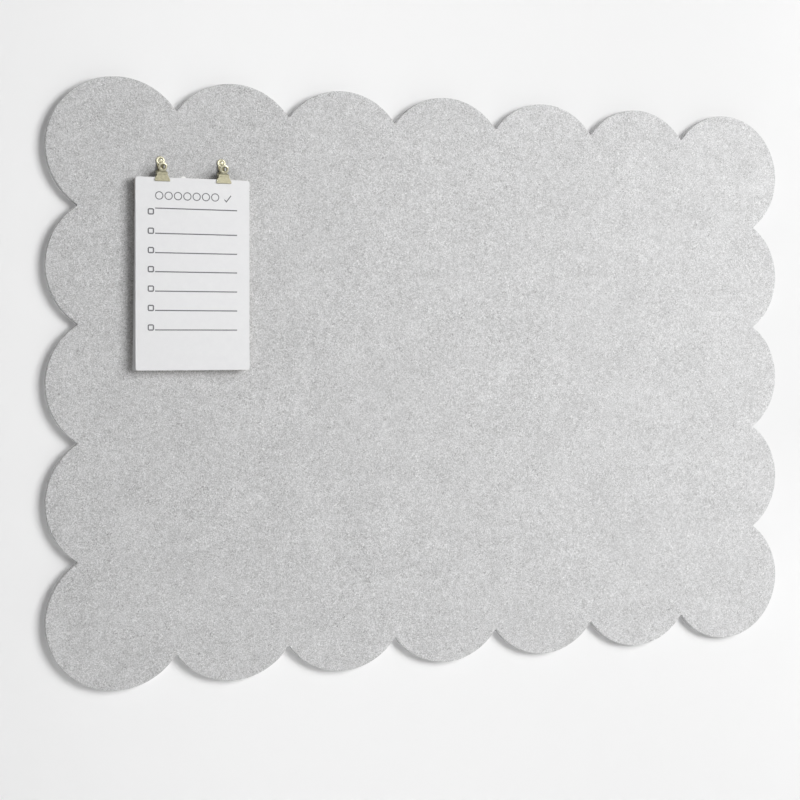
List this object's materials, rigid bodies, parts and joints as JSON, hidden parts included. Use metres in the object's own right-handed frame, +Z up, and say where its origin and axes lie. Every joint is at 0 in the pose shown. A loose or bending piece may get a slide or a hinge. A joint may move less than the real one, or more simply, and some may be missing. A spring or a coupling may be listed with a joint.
{
  "type": "felt bulletin board",
  "caption": "Grey marled felt bulletin board with a scalloped edge, stuck flat to a wall, with a notepad hung on it in sprung brass push-pin clips.",
  "frame": {"origin": "middle of the wall face of the centre mounting strip, which is the middle of the board", "axes": "+X along the board's width, to the right seen from the front; +Y into the wall; +Z up"},
  "size_m": [0.9144, 0.0274, 0.6604],
  "materials": {
    "felt": "dense needled felt, light grey marl with fine darker and lighter fibres, no sheen",
    "tape": "white foam adhesive strip, fine closed cells",
    "card": "unbleached grey-brown board",
    "paper": "uncoated white writing paper",
    "gum": "white padding gum, soft satin",
    "brass": "pressed sheet, brushed antique brass plating with bright worn rims",
    "steel": "drawn spring wire and needle steel"
  },
  "bodies": {
    "board": {"felt_panel": "felt", "mounting_strip_top_left": "tape", "mounting_strip_top_right": "tape", "mounting_strip_centre": "tape", "mounting_strip_bottom_left": "tape", "mounting_strip_bottom_right": "tape"},
    "left_clip": {"left_clip_rear_leaf": "brass", "left_clip_axle": "brass", "left_clip_spring": "steel", "left_clip_needle": "steel"},
    "left_clip_lever": {"left_clip_front_leaf": "brass"},
    "right_clip": {"right_clip_rear_leaf": "brass", "right_clip_axle": "brass", "right_clip_spring": "steel", "right_clip_needle": "steel"},
    "right_clip_lever": {"right_clip_front_leaf": "brass"},
    "pad": {"pad_backing_card": "card", "pad_sheet_block": "paper", "pad_gum_edge": "gum"},
    "top_sheets": {"pad_top_sheets": "paper"}
  },
  "joints": [
    {"name": "left_clip_pull", "type": "slide", "parent": "board", "child": "left_clip", "axis": [0, -1, 0], "range_m": [0, 0.01]},
    {"name": "right_clip_pull", "type": "slide", "parent": "board", "child": "right_clip", "axis": [0, -1, 0], "range_m": [0, 0.01]},
    {"name": "left_clip_squeeze", "type": "hinge", "parent": "left_clip", "child": "left_clip_lever", "pos_m": [-0.3355, -0.01885, 0.2269], "axis": [-1, 0, 0], "range_deg": [0, 35], "stiffness_Nm_per_rad": 0.08, "springref_deg": -22.92, "deforming": ["left_clip_spring"]},
    {"name": "right_clip_squeeze", "type": "hinge", "parent": "right_clip", "child": "right_clip_lever", "pos_m": [-0.2681, -0.01885, 0.2269], "axis": [-1, 0, 0], "range_deg": [0, 35], "stiffness_Nm_per_rad": 0.08, "springref_deg": -22.92, "deforming": ["right_clip_spring"]},
    {"name": "pad_draw", "type": "slide", "parent": "left_clip", "child": "pad", "axis": [0, 0, -1], "range_m": [0, 0.015]},
    {"name": "top_sheets_lift", "type": "hinge", "parent": "pad", "child": "top_sheets", "pos_m": [-0.3018, -0.0226, 0.2164], "axis": [-1, 0, 0], "range_deg": [0, 80]}
  ],
  "couplings": [
    {"joint": "right_clip_pull", "follows": "left_clip_pull", "ratio": 1}
  ]
}
